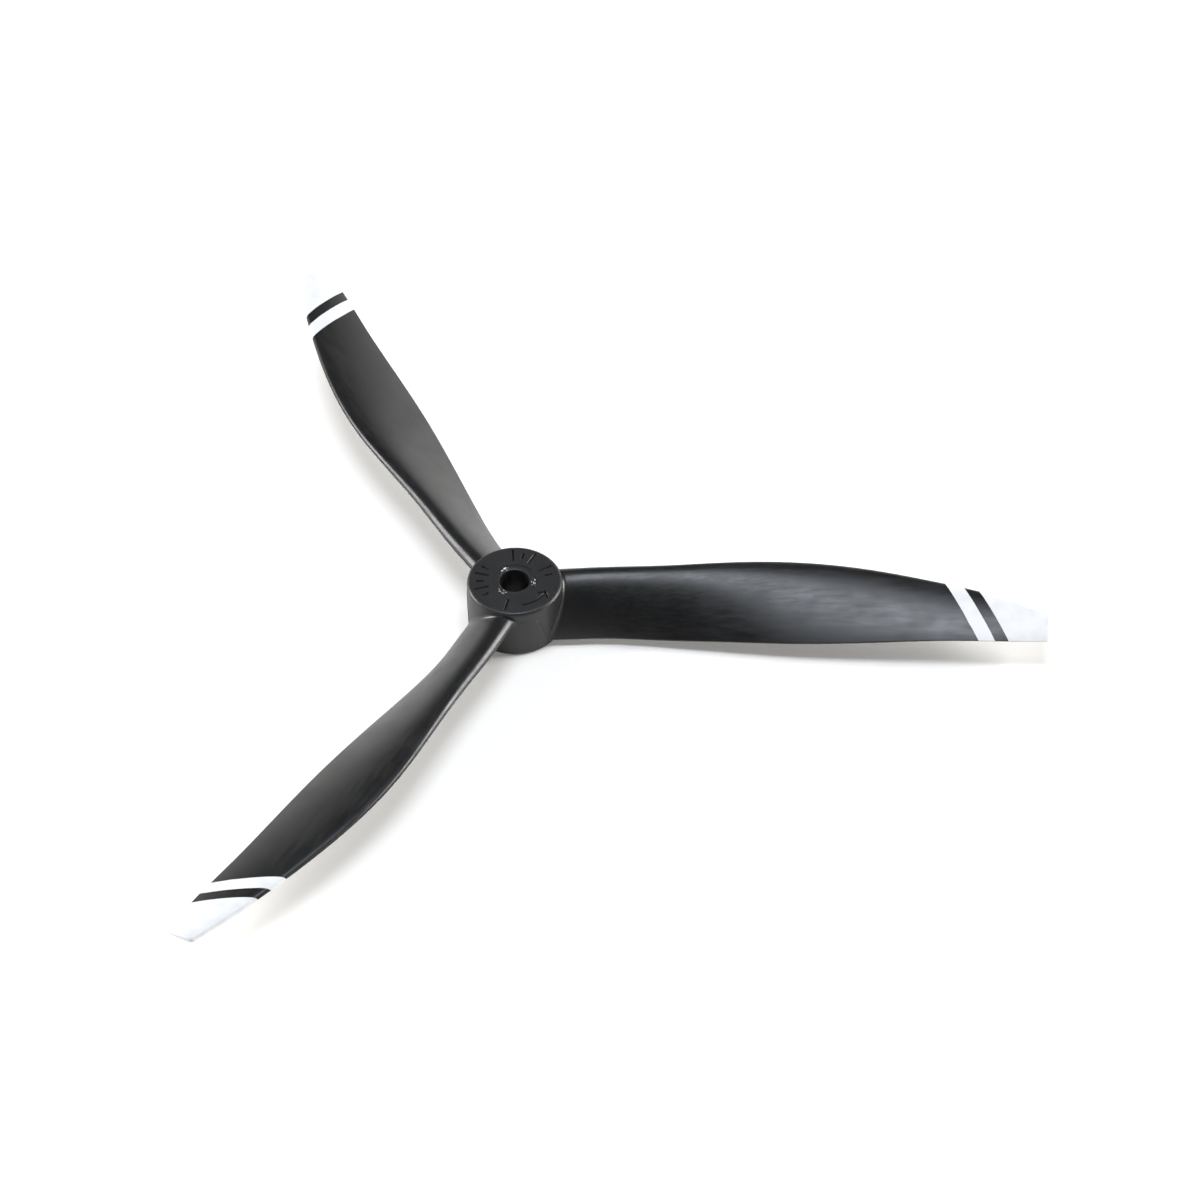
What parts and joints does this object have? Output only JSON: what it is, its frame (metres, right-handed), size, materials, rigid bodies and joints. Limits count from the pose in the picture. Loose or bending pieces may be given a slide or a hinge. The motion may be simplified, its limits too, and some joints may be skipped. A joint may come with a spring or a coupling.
{
  "type": "model aeroplane propeller",
  "caption": "Fixed-pitch tractor propeller for a model aeroplane: round hub with a through bore, twisted blades with squared tips, white tip paint and stripes.",
  "frame": {"origin": "on the shaft axis, on the hub's rear face, the face that seats on the prop driver", "axes": "+Z along the shaft, forward (the way the thrust points); +X along blade_1; seen from the front it turns anticlockwise, so +Y is blade_1's leading side"},
  "size_m": [0.2213, 0.2453, 0.0155],
  "materials": {
    "moulded_black": "satin black glass-filled nylon, fine flow texture",
    "tip_white": "sprayed white paint, semi-gloss"
  },
  "bodies": {
    "root": {"hub": "moulded_black", "blade_1": "moulded_black", "blade_2": "moulded_black", "blade_3": "moulded_black", "stripe_paint_1": "tip_white", "stripe_paint_2": "tip_white", "stripe_paint_3": "tip_white", "tip_paint_1": "tip_white", "tip_paint_2": "tip_white", "tip_paint_3": "tip_white"}
  },
  "joints": []
}
